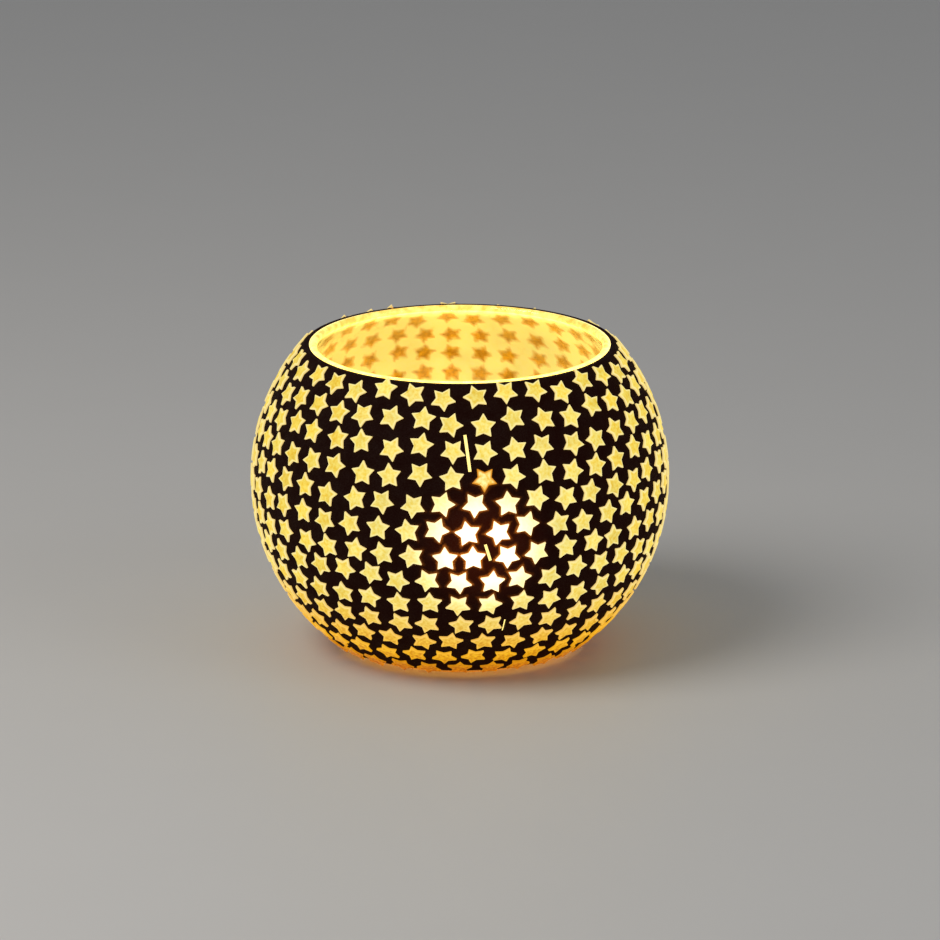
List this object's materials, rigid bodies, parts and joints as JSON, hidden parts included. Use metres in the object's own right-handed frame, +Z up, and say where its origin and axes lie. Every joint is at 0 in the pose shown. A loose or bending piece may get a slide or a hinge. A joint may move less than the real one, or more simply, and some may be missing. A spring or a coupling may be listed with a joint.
{
  "type": "tealight holder",
  "caption": "Ball-shaped glass candle bowl with a wide mouth, covered in star-shaped glass tiles set in dark grout, with a tealight standing inside.",
  "frame": {"origin": "middle of the foot, on the surface that the holder stands on", "axes": "+Z up along the axis of the ball; +X towards the side where the tealight stands off centre; -Y faces the viewer"},
  "size_m": [0.1201, 0.1202, 0.0901],
  "materials": {
    "frosted_glass": "satin, frosted inside",
    "white_bed": "matte bedding cement",
    "dark_grout": "matte cement grout",
    "star_glass": "glossy pressed glass, backed with white",
    "cup_aluminium": "bright pressed foil",
    "white_wax": "waxy satin",
    "tinned_steel": "plain tinned sheet",
    "wick_cotton": "charred braided cotton"
  },
  "bodies": {
    "holder": {"glass_bowl": "frosted_glass", "tile_bed": "white_bed", "grout": "dark_grout", "star_course_01": "star_glass", "star_course_02": "star_glass", "star_course_03": "star_glass", "star_course_04": "star_glass", "star_course_05": "star_glass", "star_course_06": "star_glass", "star_course_07": "star_glass", "star_course_08": "star_glass", "star_course_09": "star_glass", "star_course_10": "star_glass", "star_course_11": "star_glass", "star_course_12": "star_glass", "star_course_13": "star_glass"},
    "tealight": {"tealight_cup": "cup_aluminium"},
    "candle": {"wax": "white_wax", "wick_holder": "tinned_steel", "wick": "wick_cotton"}
  },
  "joints": [
    {"name": "tealight_lift", "type": "slide", "parent": "holder", "child": "tealight", "axis": [0, 0, 1], "range_m": [0, 0.1]},
    {"name": "candle_lift", "type": "slide", "parent": "tealight", "child": "candle", "axis": [0, 0, 1], "range_m": [0, 0.018]}
  ]
}
